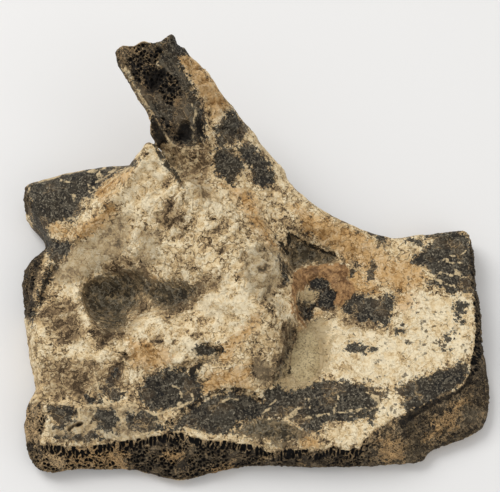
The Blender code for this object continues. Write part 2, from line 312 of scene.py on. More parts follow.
HOLLOW = [
    (276, 238), (284, 245), (288, 251), (289, 246), (286, 236), (289, 233), (297, 238), (306, 242),
    (312, 246), (322, 250), (333, 252), (337, 256), (335, 261), (330, 264), (315, 265), (302, 267),
    (294, 270), (289, 265), (287, 257), (282, 248),
]
CRUST = [
    (291, 284), (293, 275), (297, 270), (306, 266), (318, 265), (328, 264), (333, 265), (339, 262),
    (346, 265), (349, 271), (348, 279), (353, 283), (356, 289), (351, 296), (342, 304), (336, 308),
    (334, 302), (338, 292), (331, 288), (329, 280), (321, 277), (312, 279), (308, 285), (302, 291),
    (297, 292), (296, 298), (297, 306), (300, 315), (305, 323), (307, 329), (302, 328), (295, 320),
    (291, 308), (290, 296),
]
CRUST_HOLES = [
    [(307, 281), (312, 276), (322, 275), (331, 277), (332, 283), (327, 290), (318, 291), (311, 288)],
    [(320, 290), (329, 286), (339, 291), (338, 302), (334, 310), (325, 310), (316, 306), (312, 311),
     (312, 317), (306, 322), (299, 318), (294, 307), (296, 298), (303, 303), (308, 307), (316, 302)],
]
CLIFF = [
    (289, 318), (297, 325), (300, 340), (296, 353), (289, 374), (277, 382), (266, 391), (271, 379),
    (278, 363), (280, 353), (280, 330),
]
STUB = [
    (26, 185), (41, 179), (75, 170), (116, 161), (138, 160), (135, 166), (114, 174), (100, 185),
    (93, 196), (83, 201), (81, 210), (74, 223), (55, 221), (48, 226), (52, 240), (66, 240), (72, 246),
    (62, 262), (54, 266), (47, 253), (38, 240), (31, 230), (30, 210),
]
SLOT = [(70, 429), (75, 426), (80, 423)]
NAIL_HOLE = [(258.6, 399.2), (259.4, 400.4)]
STRUT_PEAK = [(149, 146), (151, 146)]
# Outlines, their depth, and the steps inside their border over which it is reached
HOLLOWS = [
    ([STRUT_FACE], 1.3, -0.5, 5), (STRUT_VOIDS, 1.2, -2, 3), ([PIT], 1.1, -1, 4), ([VALLEY], 0.6, -3, 6),
    ([POCKET], 1.6, -2, 3), ([BELOW_CRACK], 1.0, -1, 1.5), ([HOLLOW], 1.2, -1, 3),
]
# Lines, their depth, which is below 0 for a crest, how far they reach, and the steps over which it is reached
CREASES = [
    ([STRUT_RIDGE], -0.7, 5, 5), ([MOUND_CREASE], 1.3, 6, 6), (MOUND_CRESTS, -0.9, 7, 7),
    ([RIM_GROOVE], 0.8, 5, 5), ([OVERHANG], 1.3, 4, 4), ([CRACK], 0.5, 2.5, 2), ([STRUT_PEAK], -1.3, 9, 9),
]
STRUT_STEP_DEPTH = 1.2
STRUT_STEP_REACH = 5
SWELL_HEIGHT = 0.5
SWELL_SIZE = 9
# The groove between two scutes on the underside, in millimetres
SCUTE_GROOVE = [(-54, -26), (-30, -20), (-6, -22), (20, -17), (48, -24)]
SCUTE_GROOVE_DEPTH = 0.5
SCUTE_GROOVE_REACH = 1.6

points, normals = points_of(bone), normals_of(bone)
for centre, radius, right, up in STRUT_PULLS:
    points = pulled(points, centre, radius, right, up)
places = from_above(points)
upward = ramp(normals @ np.array(back), 0.05, 0.35)
in_step = ramp(STRUT_STEP_REACH - near(places, STRUT_STEP), 0, STRUT_STEP_REACH)
carved = STRUT_STEP_DEPTH * in_step * ramp(depth_in(places, STRUT_FACE), -1, 1)
for outlines, depth, start, full in HOLLOWS:
    carved += depth * ramp(depth_in_any(places, outlines), start, full)
for paths, depth, reach, full in CREASES:
    carved += depth * ramp(reach - near_any(places, paths), 0, full)
underside = ramp(-normals[:, 2], 0.3, 0.7)
carved = carved * upward - SWELL_HEIGHT * fractal(points, SWELL_SIZE, 2) * (1 - underside)
in_groove = ramp(SCUTE_GROOVE_REACH - near(points[:, :2], SCUTE_GROOVE), 0, SCUTE_GROOVE_REACH)
carved += SCUTE_GROOVE_DEPTH * in_groove * underside
place_points(bone, points - normals * carved[:, None])
apply_modifier(bone, "REMESH", mode="VOXEL", voxel_size=GRAIN_VOXEL)
apply_modifier(bone, "SMOOTH", factor=0.5, iterations=4)

# Grain: which kind of surface lies where, and its relief
RIM = [
    (36, 430), (40, 445), (58, 447), (81, 447), (103, 444), (127, 441), (150, 438), (165, 433),
    (182, 433), (194, 438), (211, 441), (231, 441), (242, 445), (260, 449), (270, 453), (290, 451),
    (306, 450), (333, 448), (349, 451), (359, 449), (363, 443), (373, 431), (389, 421), (406, 412),
    (419, 409), (431, 402), (444, 394), (457, 390), (464, 383), (470, 374), (474, 350), (476, 330),
    (475, 300), (470, 260), (466, 236),
]
LEFT_BREAKS = [
    [(20, 250), (46, 246), (46, 256), (38, 272), (34, 290), (34, 304), (28, 318), (16, 318)],
    [(20, 405), (40, 400), (45, 413), (43, 432), (40, 444), (44, 452), (62, 466), (60, 480), (20, 480)],
    [(16, 178), (27, 184), (31, 196), (31, 208), (28, 215), (16, 215)],
]
ROUGH = [
    [(150, 184), (176, 188), (196, 202), (190, 228), (170, 238), (150, 224)],
    [(200, 198), (232, 206), (250, 232), (236, 258), (206, 252), (190, 236)],
    [(90, 332), (150, 320), (214, 334), (196, 362), (150, 372), (100, 366)],
    [(176, 52), (190, 54), (206, 72), (226, 100), (244, 130), (236, 150), (214, 130), (200, 96),
     (186, 72)],
    [(140, 172), (150, 152), (166, 170), (176, 190), (158, 206), (142, 200)],
    [(236, 250), (260, 240), (286, 256), (290, 286), (262, 300), (240, 280)],
]
RIM_CORNER = (470, 376)
FAR_PAST_RIM = 9
NOTCH_SIDE = 12
SMOOTH_SLOPE = [(58, 272), (70, 266), (92, 256), (108, 244), (122, 228)]
SMOOTH_SLOPE_REACH = 22
WANDER_SIZE = 2.4
STRAY = 2.4
PORE_SIZE = 0.95
PORE_WALL = 0.36
PORE_DEPTH = 0.8
COMB_PITCH = 1.12
COMB_WALL = 0.24
COMB_REACH = 12
CRAG_SIZE = 5.0
CRAG_HEIGHT = 0.24
LARGE_FLAKE = 3.4
LARGE_FLAKE_STEP = 0.5
SMALL_FLAKE = 1.5
SMALL_FLAKE_STEP = 0.26
CRUST_HEIGHT = 0.35
CRUST_HOLE_DEPTH = 0.7
CLIFF_STREAK_DEPTH = 0.6
NAIL_HOLE_DEPTH = 1.5
SLOT_DEPTH = 1.2
BROKEN_END_HEIGHT = 0.5
BROKEN_END_REACH = 62

points, normals = points_of(bone), normals_of(bone)
places = from_above(points)
across, down = places.T
facing = ramp(normals @ np.array(back), -0.05, 0.3)
underside = ramp(-normals[:, 2], 0.35, 0.7)
wander = np.stack([fractal(points, WANDER_SIZE, 3), fractal(points + 40, WANDER_SIZE, 3)], axis=-1)
strayed = places + STRAY * wander

lower_rim, right_rim = RIM[:30], sorted(place[::-1] for place in RIM[29:])
below_rim = strayed[:, 1] - np.interp(across, *zip(*lower_rim))
beyond_rim = strayed[:, 0] - np.interp(down, *zip(*right_rim))
past_rim = np.where(down < RIM_CORNER[1], beyond_rim, FAR_PAST_RIM)
past_rim = np.where(across < RIM_CORNER[0], below_rim, past_rim)
toothed = ramp(past_rim, -1, 1) * (1 - underside) * (points[:, 1] < NOTCH_SIDE)
strut_face = ramp(depth_in(strayed, STRUT_FACE), -1, 2) * facing
left_breaks = ramp(depth_in_any(strayed, LEFT_BREAKS), -1, 2) * (1 - underside)
spongy = np.maximum.reduce([toothed, strut_face, left_breaks])
plate = ramp(across, 290, 330) * ramp(down, 235, 275) * (1 - spongy) * facing
smooth_slope = ramp(SMOOTH_SLOPE_REACH - near(places, SMOOTH_SLOPE), 0, 8) * facing
flaky = (1 - plate) * (1 - spongy) * (1 - 0.8 * smooth_slope) * facing
flaky *= 1 - 0.4 * ramp(depth_in_any(strayed, [PIT, VALLEY]), -2, 3)
flaky *= 0.5 + 0.5 * ramp(depth_in_any(strayed, ROUGH), -6, 6)
flaky *= 1 - 0.9 * ramp(depth_in(strayed, STUB), -3, 3)

# Bone in relief: soft lumps, the plate's fine texture, and crags and flakes where it is broken
relief = 0.15 * (1 - flaky) * (1 - plate) * (1 - spongy) * fractal(points, 3, 2)
relief += plate * (0.1 * fractal(points, 2, 2) + 0.06 * fractal(points, 0.6))
top = np.nonzero(flaky > 0.03)[0]
tilted = points[top] @ np.array([[1.0, 0.5, 0], [-1.0, 0.5, 0], [0, 0, 0.8]]) + 0.8 * wander[top, :1]
broken = points[top] + 0.7 * np.stack([wander[top, 0], wander[top, 1], 0 * top], axis=-1)
flaked = LARGE_FLAKE_STEP * flakes(broken, LARGE_FLAKE) + SMALL_FLAKE_STEP * flakes(broken, SMALL_FLAKE)
relief[top] += flaky[top] * (CRAG_HEIGHT * crags(tilted, CRAG_SIZE, 5) + flaked)

# Spongy bone: round pores, and by the rim the long slots between the teeth of the comb
porous = np.nonzero(spongy > 0.02)[0]
web = cell_walls(points[porous] * np.array([1, 1, 0.75]), PORE_SIZE, PORE_WALL)
crumbly = ramp(fractal(points[porous] + 70, 5, 2), -0.5, 0.1)
strut_web = ramp(depth_in_any(strayed, STRUT_WEB), -1, 1)
on_right = ramp(RIM_CORNER[1] - down, 0, 10)
webbed = np.maximum(1 - strut_face, strut_web)
webbed *= 1 - 0.6 * ramp(across - 362, 0, 14)
webbed *= 1 - on_right * ramp(across, 400, 410)
upright = on_right[porous, None] * ramp(across[porous, None], 440, 460) > 0.5
slot_run = np.where(upright, [0.25, 1, 0.25], [1, 0.25, 0.25])
slots = cell_walls(points[porous] * slot_run + 0.3 * wander[porous, :1], COMB_PITCH, COMB_WALL)
by_rim = toothed * ramp(COMB_REACH - past_rim, 0, 5) * ramp(across, 30, 50)
by_rim *= 1 - ramp(across, 355, 370) * ramp(down, 370, 380)
open_pore = np.zeros(len(points))
open_pore[porous] = web * crumbly * spongy[porous] * webbed[porous] * (1 - by_rim[porous])
open_pore[porous] += slots * by_rim[porous]
relief -= PORE_DEPTH * open_pore - 0.3 * spongy * fractal(points, 2, 2)

# The crust and its holes, the streaked cliff, the nail hole, the slot and the jagged end of the strut
relief += CRUST_HEIGHT * ramp(depth_in(strayed, CRUST), -0.6, 0.8) * facing
relief -= CRUST_HOLE_DEPTH * ramp(depth_in_any(strayed, CRUST_HOLES), -0.6, 1) * facing
streaks = fractal(np.stack([across * 0.9, down * 0.12, np.zeros(len(points))], axis=-1), 2, 2)
relief += CLIFF_STREAK_DEPTH * ramp(depth_in(strayed, CLIFF), -2, 2) * facing * streaks
relief -= NAIL_HOLE_DEPTH * ramp(2.2 - near(places, NAIL_HOLE), 0, 1.6) * facing
relief -= SLOT_DEPTH * ramp(2.4 - near(strayed, SLOT), 0, 1.6) * facing
relief += BROKEN_END_HEIGHT * ramp(BROKEN_END_REACH - down, 0, 14) * fractal(points, 2.6, 3)
place_points(bone, points + normals * relief[:, None])
smooth_strut = strut_face * (1 - strut_web)
# The depth of each point below the relief, which the material turns into painted shade in recesses and
# painted highlight on raised parts
keep(bone, "recess", -relief)
keep(bone, "pore", open_pore)
keep(bone, "spongy", spongy * (1 - 0.85 * smooth_strut))
keep(bone, "plate", plate)
keep(bone, "fibres", smooth_strut)
apply_modifier(bone, "DECIMATE", ratio=BONE_TRIANGLES / (2 * len(bone.data.polygons)))
select_only(bone)
bpy.ops.object.shade_smooth()

# Stains, and some outlines of painted shadow and shade: each is an outline in the view from above. The
# material frays their borders.
SLATE_AND_SHADOWS = CRUST_HOLES + [
    # Painted shadow in the pocket under the flake
    POCKET,
    [(163, 40), (169, 30), (176, 32), (185, 44), (192, 54), (184, 56), (178, 58), (186, 74), (196, 92),
     (190, 92), (178, 76), (168, 60)],
    [(54, 262), (60, 264), (52, 274), (48, 286), (41, 300), (37, 314), (30, 324), (27, 318), (33, 304),
     (38, 290), (44, 278), (50, 268)],
    [(127, 60), (140, 58), (160, 66), (178, 84), (190, 100), (196, 118), (204, 140), (188, 146),
     (172, 142), (156, 122), (146, 106), (136, 88)],
    [(148, 38), (166, 40), (177, 60), (190, 84), (199, 102), (205, 120), (206, 140), (198, 146),
     (192, 130), (184, 108), (172, 84), (160, 66), (150, 54)],
    [(108, 52), (118, 60), (128, 74), (138, 92), (146, 106), (142, 106), (132, 92), (120, 76),
     (108, 64)],
    STUB,
    [(225, 113), (232, 108), (238, 114), (248, 128), (247, 137), (238, 141), (228, 146), (222, 148),
     (216, 137), (221, 122)],
    [(235, 146), (250, 142), (260, 154), (268, 160), (271, 170), (276, 178), (273, 186), (263, 190),
     (254, 183), (250, 166), (239, 158)],
    [(215, 148), (235, 148), (240, 158), (243, 166), (239, 178), (235, 186), (225, 181), (216, 173),
     (212, 166)],
    [(214, 128), (220, 128), (223, 147), (217, 147)],
    [(343, 312), (346, 300), (353, 293), (364, 295), (376, 299), (384, 293), (395, 297), (393, 312),
     (386, 326), (376, 323), (362, 321), (349, 317)],
    [(345, 350), (348, 342), (358, 343), (364, 347), (371, 347), (376, 349), (368, 352), (358, 353)],
    [(352, 264), (357, 258), (360, 264), (353, 275), (349, 276)],
    [(368, 264), (372, 260), (377, 266), (375, 272), (372, 282), (367, 283), (366, 276)],
    [(421, 235), (432, 233), (455, 228), (468, 234), (474, 271), (476, 296), (465, 294), (450, 293),
     (437, 286), (429, 284), (433, 276), (429, 271), (423, 267), (411, 263), (414, 256), (423, 253),
     (424, 248), (433, 244), (437, 239)],
    [(404, 242), (411, 238), (425, 239), (419, 245)],
    [(365, 228), (386, 236), (385, 248), (379, 246), (374, 236)],
    [(453, 307), (457, 300), (464, 303), (468, 309), (462, 317), (468, 323), (462, 325), (457, 319)],
    [(450, 326), (455, 330), (459, 333), (454, 334)],
    [(439, 341), (447, 335), (450, 339), (445, 343), (450, 351), (442, 350)],
    [(392, 330), (397, 328), (405, 324), (408, 330), (401, 335)], [(405, 342), (411, 341), (411, 345)],
    [(393, 329), (400, 329), (400, 333)],
    [(168, 424), (187, 412), (204, 400), (234, 392), (250, 396), (262, 404), (265, 393), (277, 385),
     (290, 390), (306, 387), (316, 383), (325, 378), (333, 382), (343, 380), (356, 385), (368, 385),
     (378, 390), (389, 390), (399, 386), (416, 377), (429, 376), (437, 372), (452, 367), (464, 361),
     (470, 370), (462, 384), (446, 396), (429, 403), (406, 411), (401, 403), (406, 398), (394, 391),
     (381, 396), (377, 410), (371, 424), (368, 416), (356, 421), (346, 421), (330, 423), (318, 431),
     (306, 432), (296, 424), (282, 418), (262, 417), (244, 421), (234, 430), (219, 436), (202, 431),
     (188, 428)],
    [(139, 386), (147, 377), (158, 372), (173, 368), (185, 371), (198, 378), (202, 390), (200, 398),
     (193, 405), (173, 409), (155, 412), (145, 404), (136, 397)],
    [(99, 390), (109, 375), (118, 367), (120, 377), (115, 386), (124, 392), (121, 400), (110, 401)],
    [(86, 397), (101, 400), (103, 404), (86, 403)],
    [(47, 405), (77, 406), (78, 416), (70, 426), (58, 429), (47, 416)],
    [(92, 410), (112, 408), (119, 421), (112, 433), (99, 431), (90, 420)],
    [(109, 431), (121, 426), (118, 435)], [(126, 413), (150, 411), (158, 420), (148, 429), (128, 427)],
    [(54, 437), (84, 433), (104, 431), (104, 438), (80, 442)],
    [(126, 415), (166, 425), (186, 430), (150, 431), (128, 432)],
    [(278, 254), (284, 262), (288, 280), (284, 284), (281, 268)],
]
EARTH_AND_SHADOWS = [
    PIT, VALLEY, HOLLOW,
    [(234, 430), (246, 420), (264, 416), (284, 418), (298, 426), (304, 436), (294, 444), (272, 444),
     (248, 438)],
    # Painted shadow under the strut's lower side
    [(152, 117), (160, 127), (166, 140), (172, 158), (178, 170), (172, 166), (164, 152), (155, 144),
     (151, 141)],
    # Painted shadow under the overhang
    [(187, 371), (203, 362), (220, 352), (213, 362), (203, 366), (196, 378), (202, 396), (193, 390),
     (187, 378)],
    [(289, 322), (293, 340), (292, 358), (288, 374), (276, 384), (268, 390), (276, 372), (284, 350)],
]
BROWN = [
    [(188, 164), (208, 172), (214, 196), (202, 208), (190, 190)],
    [(103, 262), (126, 256), (141, 266), (152, 275), (138, 281), (116, 277), (103, 275)],
    [(196, 283), (212, 272), (224, 272), (222, 286), (206, 294), (192, 308), (176, 316), (158, 314),
     (146, 304)],
    [(106, 330), (126, 322), (138, 306), (142, 298), (146, 310), (138, 328), (120, 342), (98, 344),
     (92, 330)],
    [(43, 306), (58, 301), (73, 299), (78, 309), (83, 322), (81, 336), (75, 345), (61, 341), (48, 331),
     (38, 321)],
    [(56, 266), (61, 263), (58, 273), (48, 283), (43, 294), (40, 306), (35, 316), (43, 324), (31, 320),
     (37, 299), (40, 286)],
    [(42, 360), (90, 362), (124, 366), (126, 390), (96, 396), (46, 396), (40, 380)],
    [(205, 290), (215, 284), (222, 274), (205, 274), (196, 284)],
    [(155, 213), (174, 206), (188, 213), (184, 226), (171, 230), (157, 223)], CLIFF,
    # Painted shade in the notch below the lower bulge
    [(251, 366), (256, 361), (266, 362), (273, 368), (271, 379), (265, 385), (260, 379), (255, 371)],
    [(340, 315), (378, 316), (384, 324), (362, 332), (346, 326)],
    [(167, 147), (209, 147), (209, 173), (196, 180), (178, 172)],
    [(36, 250), (46, 246), (40, 268), (30, 282), (28, 300), (22, 290), (26, 268)],
]
ORANGE = [
    [(384, 262), (410, 258), (426, 272), (424, 286), (402, 292), (386, 284)],
    [(128, 340), (150, 344), (172, 352), (170, 364), (150, 370), (132, 366)],
    [(292, 205), (330, 222), (362, 234), (380, 246), (392, 262), (400, 280), (380, 285), (360, 270),
     (335, 250), (306, 232)],
    [(96, 188), (116, 173), (126, 171), (133, 168), (128, 178), (116, 190), (100, 201), (94, 197)],
    [(45, 226), (56, 221), (66, 226), (71, 233), (61, 237), (50, 233)],
    [(72, 240), (76, 230), (93, 218), (108, 206), (118, 208), (99, 228), (84, 238)],
    [(222, 184), (240, 188), (256, 200), (268, 236), (282, 250), (268, 244), (254, 226), (238, 200)],
    [(201, 378), (215, 372), (250, 364), (250, 390), (234, 386), (213, 391), (204, 398)],
    [(219, 359), (222, 345), (240, 330), (262, 306), (258, 324), (240, 345), (228, 362)],
    [(397, 296), (410, 293), (417, 301), (414, 308), (405, 312), (395, 307)],
    [(378, 440), (389, 438), (404, 446), (403, 460), (389, 464), (379, 454)],
    [(424, 440), (436, 423), (447, 414), (455, 404), (466, 400), (458, 411), (456, 426), (442, 433),
     (427, 443)],
    [(295, 433), (319, 443), (311, 446), (303, 445)],
    [(174, 53), (189, 54), (204, 70), (216, 86), (227, 104), (222, 120), (212, 116), (204, 100),
     (194, 85), (181, 68)],
    [(139, 94), (142, 97), (153, 113), (161, 127), (158, 127), (150, 113)],
    [(106, 311), (114, 313), (112, 318), (106, 316)], [(149, 276), (159, 278), (159, 290), (150, 292)],
    [(330, 262), (370, 276), (384, 292), (352, 296), (340, 308), (322, 312), (300, 328), (308, 316),
     (334, 306), (350, 290)],
    [(60, 450), (128, 446), (126, 468), (70, 466)], [(165, 452), (181, 452), (178, 464), (166, 462)],
    [(203, 474), (216, 466), (232, 466), (236, 474)],
]
GREY = [
    [(74, 246), (93, 233), (119, 216), (129, 215), (130, 240), (123, 253), (106, 263), (93, 274),
     (83, 281), (70, 284), (55, 281), (52, 272), (63, 261)],
    [(139, 233), (159, 228), (160, 262), (148, 268), (139, 262)],
    [(199, 84), (212, 88), (220, 101), (225, 112), (212, 110), (204, 97)],
    [(245, 251), (261, 243), (276, 248), (287, 260), (289, 276), (276, 285), (271, 299), (281, 306),
     (276, 312), (269, 302), (254, 294), (245, 287), (242, 271)],
    [(86, 404), (130, 404), (160, 418), (166, 428), (140, 440), (60, 442), (48, 430)],
    [(412, 390), (424, 390), (439, 393), (434, 401), (420, 398)],
    # Painted shade in the notch below the lower bulge
    [(251, 366), (256, 361), (266, 362), (273, 368), (271, 379), (265, 388), (258, 382), (253, 373)],
    [(60, 448), (62, 462), (50, 474), (36, 462), (36, 446)],
]
PALE = [
    [(134, 312), (160, 322), (190, 316), (204, 330), (180, 340), (150, 342), (124, 334)],
    [(213, 300), (240, 290), (262, 300), (258, 330), (236, 350), (222, 336)],
    [(300, 330), (322, 326), (345, 322), (392, 334), (400, 300), (420, 292), (450, 296), (474, 300),
     (474, 330), (466, 356), (452, 364), (436, 370), (400, 384), (378, 388), (330, 378), (312, 372),
     (324, 350)],
    [(136, 173), (141, 160), (149, 145), (159, 150), (172, 173), (176, 183), (162, 195), (154, 210),
     (144, 223), (137, 212), (118, 212), (126, 190)],
    [(131, 222), (140, 220), (140, 240), (134, 262), (128, 256)],
    [(206, 282), (234, 276), (240, 300), (232, 322), (204, 320), (196, 304)],
    [(55, 293), (61, 286), (73, 283), (78, 286), (80, 306), (92, 327), (88, 330), (76, 306), (70, 300),
     (58, 299)],
    [(182, 338), (214, 338), (218, 350), (206, 356), (190, 362)],
    [(326, 441), (336, 424), (350, 422), (368, 417), (376, 426), (360, 430), (352, 445), (338, 447)],
    [(378, 410), (382, 396), (394, 392), (400, 402), (405, 411), (393, 421), (378, 426)],
    [(426, 259), (436, 259), (436, 266), (429, 264)],
    [(290, 287), (294, 302), (293, 313), (298, 321), (305, 328), (301, 332), (290, 318), (284, 318),
     (278, 290)],
    [(45, 345), (60, 345), (96, 346), (84, 352), (50, 352)],
    [(176, 176), (196, 180), (230, 196), (236, 214), (210, 214), (190, 204)],
    [(333, 388), (342, 388), (342, 398), (334, 396)],
]
TAN_WALLS = [
    [(38, 442), (128, 442), (126, 472), (38, 476)], [(165, 451), (181, 451), (178, 465), (166, 463)],
    [(203, 474), (216, 465), (232, 465), (237, 476)],
    [(378, 438), (389, 434), (406, 443), (403, 461), (389, 466), (376, 456)],
    [(424, 440), (436, 421), (447, 412), (455, 402), (466, 398), (460, 412), (456, 428), (442, 435),
     (427, 445)],
    [(20, 405), (46, 400), (44, 440), (20, 444)],
]
KHAKI_HALO = [
    [(306, 320), (328, 318), (332, 345), (327, 372), (312, 389), (284, 398), (268, 393), (284, 372),
     (294, 350)],
    [(298, 292), (324, 288), (320, 299), (308, 309), (300, 300)],
]
BLACK = STRUT_VOIDS + [
    [(398, 421), (412, 410), (430, 402), (447, 395), (462, 386), (470, 376), (472, 382), (462, 391),
     (447, 400), (430, 408), (414, 418), (402, 428)],
    [(293, 331), (295, 332), (296, 342), (293, 352), (292, 352), (294, 342)],
    [(275, 237), (284, 244), (289, 252), (286, 255), (281, 247)],
    [(285, 235), (289, 234), (292, 248), (289, 248)],
    [(289, 233), (306, 241), (322, 249), (336, 255), (322, 252), (304, 244)],
    # Painted shadow in the crease along the strut's root
    [(152, 143), (163, 156), (176, 172), (186, 190), (172, 174), (160, 158)],
    # Painted shadow under the strut's lower side
    [(151, 115), (156, 117), (163, 130), (168, 143), (160, 146), (152, 142)],
    [(94, 84), (97, 84), (97, 87)],
    [(296, 346), (298, 347), (293, 362), (289, 374), (288, 372), (293, 358)],
    # The second outline here is painted shadow under the overhang
    [(77, 425), (80, 422), (81, 424), (78, 427)], [(189, 368), (202, 362), (203, 364), (190, 378)],
    [(411, 296), (415, 298), (416, 303), (413, 301)], [(405, 357), (407, 357), (407, 360), (405, 360)],
    [(257, 398), (260, 398), (260, 402), (257, 402)],
]
VEINS_AND_EDGE_HIGHLIGHTS = [
    # The first three lines are a painted highlight along the stub's upper edge
    [(38, 182), (60, 176)], [(66, 174), (84, 170)], [(88, 172), (98, 166)],
    [(164, 150), (170, 158), (176, 156), (180, 164)], [(184, 150), (186, 160), (194, 166), (200, 158)],
    [(172, 168), (180, 172), (190, 170)],
    [(139, 94), (152, 112), (160, 127), (172, 145), (186, 149), (204, 148)],
    [(290, 287), (293, 302), (297, 320), (304, 328)], [(249, 135), (267, 154), (289, 181)],
    [(51, 403), (90, 406), (106, 404), (130, 404), (142, 408), (155, 415)], [(78, 406), (80, 423)],
    [(95, 412), (87, 424)], [(118, 409), (123, 423), (127, 429)], [(133, 375), (135, 404), (118, 410)],
    [(155, 415), (170, 410), (182, 406), (193, 401)], [(93, 364), (96, 380), (98, 390)],
    [(173, 386), (180, 389), (182, 400), (178, 405)], [(190, 390), (193, 398)],
    [(305, 418), (320, 415), (333, 414), (337, 405), (339, 393)], [(285, 420), (298, 408)],
    [(262, 413), (271, 408)], [(356, 411), (366, 408), (378, 407)], [(366, 391), (378, 402)],
    [(185, 428), (200, 432), (216, 438), (234, 441), (250, 445), (262, 449)],
    [(94, 446), (118, 441), (149, 432)], [(60, 180), (78, 184)], [(96, 176), (104, 168), (112, 162)],
    [(100, 182), (110, 172), (122, 164)], [(64, 222), (72, 216), (76, 222)],
    [(84, 198), (92, 200), (90, 206)], [(424, 272), (436, 276)], [(446, 264), (456, 262), (464, 264)],
    [(450, 276), (462, 272)], [(430, 278), (444, 282)], [(192, 104), (196, 112), (194, 122)],
    [(190, 126), (194, 130), (192, 138)], [(206, 128), (210, 136), (213, 146)],
    [(199, 134), (203, 140)], [(180, 150), (188, 156), (196, 162), (198, 152)],
    [(471, 394), (478, 382)], [(95, 182), (105, 177), (115, 170), (121, 165)],
    [(102, 188), (112, 180), (122, 172), (131, 167)], [(106, 195), (115, 190), (121, 183)],
    [(90, 172), (97, 170), (102, 176)], [(70, 194), (78, 196)], [(71, 199), (80, 203)],
    [(50, 224), (57, 229), (63, 235)], [(57, 221), (67, 227)], [(84, 182), (92, 186), (98, 192)],
    [(88, 190), (95, 196)], [(110, 166), (118, 162)], [(429, 278), (440, 273), (452, 275)],
    [(440, 283), (454, 286), (464, 294)], [(449, 254), (457, 258), (466, 251)],
    [(438, 262), (446, 258), (452, 264)], [(454, 268), (460, 276), (468, 278)],
    [(333, 416), (334, 410), (336, 404)], [(336, 413), (346, 412), (352, 410)],
    [(350, 417), (356, 413), (361, 411), (370, 410)], [(284, 418), (292, 417), (296, 413), (300, 408)],
    [(302, 400), (316, 398)], [(308, 402), (311, 409)], [(276, 400), (270, 405)],
    [(366, 392), (378, 397), (380, 406)], [(320, 426), (326, 422), (336, 422)],
    [(222, 402), (230, 398), (238, 400)],
]
HARD_EDGE = 8
FEW_TAN = 4
RIM_HIGHLIGHT_REACH = 3
CRACK_WIDTH = 1.2
NONE_HERE = 9
# Stains on the sides out of the view: strength, size in millimetres, octaves and start
UNSEEN = {
    "slate_and_shadow": (9, 16, 3, -1), "earth_and_shadow": (6, 12, 3, -4), "brown": (6, 14, 3, 0), "orange": (6, 10, 3, -1),
    "grey": (6, 14, 2, 0), "pale": (6, 14, 2, -2),
}


def clipped(depth):
    return np.clip(depth, -HARD_EDGE, HARD_EDGE)


points, normals = points_of(bone), normals_of(bone)
places = from_above(points)
facing = ramp(normals @ np.array(back), -0.1, 0.12)
underside = ramp(-normals[:, 2], 0.3, 0.7)
stains = {"slate_and_shadow": SLATE_AND_SHADOWS, "earth_and_shadow": EARTH_AND_SHADOWS, "brown": BROWN, "orange": ORANGE, "grey": GREY, "pale": PALE}
for number, (name, outlines) in enumerate(stains.items()):
    strength, size, octaves, start = UNSEEN[name]
    unseen = strength * fractal(points + (5 + 10 * number), size, octaves) + start
    if name == "slate_and_shadow":
        unseen += 2 * (1 - underside)
    keep(bone, name, unseen * (1 - facing) + clipped(depth_in_any(places, outlines)) * facing)
# Tan walls in the listed outlines, and along the front rim a strip of tan walls as a painted highlight
tan_and_highlight_depth = np.maximum(depth_in_any(places, TAN_WALLS), RIM_HIGHLIGHT_REACH - near(places, RIM[:29]))
tan_and_highlight_depth = np.where(depth_in(places, STRUT_FACE) > 0, -FEW_TAN, tan_and_highlight_depth)
keep(bone, "tan_walls_and_rim_highlight", clipped(tan_and_highlight_depth))
keep(bone, "khaki", clipped(depth_in_any(places, KHAKI_HALO)))
dark = np.maximum(depth_in_any(places, BLACK), CRACK_WIDTH - near(places, CRACK))
keep(bone, "rust", clipped(depth_in(places, CRUST)) * facing - NONE_HERE * (1 - facing))
keep(bone, "black", clipped(dark) * facing - NONE_HERE * (1 - facing))
keep(bone, "veins_and_edge_highlight", clipped(near_any(places, VEINS_AND_EDGE_HIGHLIGHTS)) * facing + NONE_HERE * (1 - facing))

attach(bone, "root")
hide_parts("shell_bone")


def colour(red, green, blue):
    """A colour from its display values of 0 to 255."""
    return tuple((value / 255) ** 2.2 for value in (red, green, blue)) + (1,)


def add_node(tree, kind, inputs=(), **settings):
    """Adds a shader node, sets it up and feeds its inputs with values or with other nodes' outputs."""
    made = tree.nodes.new(kind)
    for name, value in settings.items():
        setattr(made, name, value)
    for place, value in dict(inputs).items():
        if isinstance(value, bpy.types.NodeSocket):
            tree.links.new(value, made.inputs[place])
        else:
            made.inputs[place].default_value = value
    return made


def smooth_step(tree, value, low, high):
    return add_node(
        tree, "ShaderNodeMapRange", {"Value": value, "From Min": low, "From Max": high},
        interpolation_type="SMOOTHSTEP",
    ).outputs["Result"]


def math_node(tree, operation, *values):
    return add_node(tree, "ShaderNodeMath", dict(enumerate(values)), operation=operation).outputs[0]


def mix_colours(tree, share, first, second):
    mixer = add_node(tree, "ShaderNodeMix", {0: share, 6: first, 7: second}, data_type="RGBA")
    return mixer.outputs[2]


def stained(under, mask, strength, tint):
    """A colour with a stain of some strength over it, where the mask lets it show."""
    return mix_colours(tree, math_node(tree, "MULTIPLY", mask, strength), under, tint)


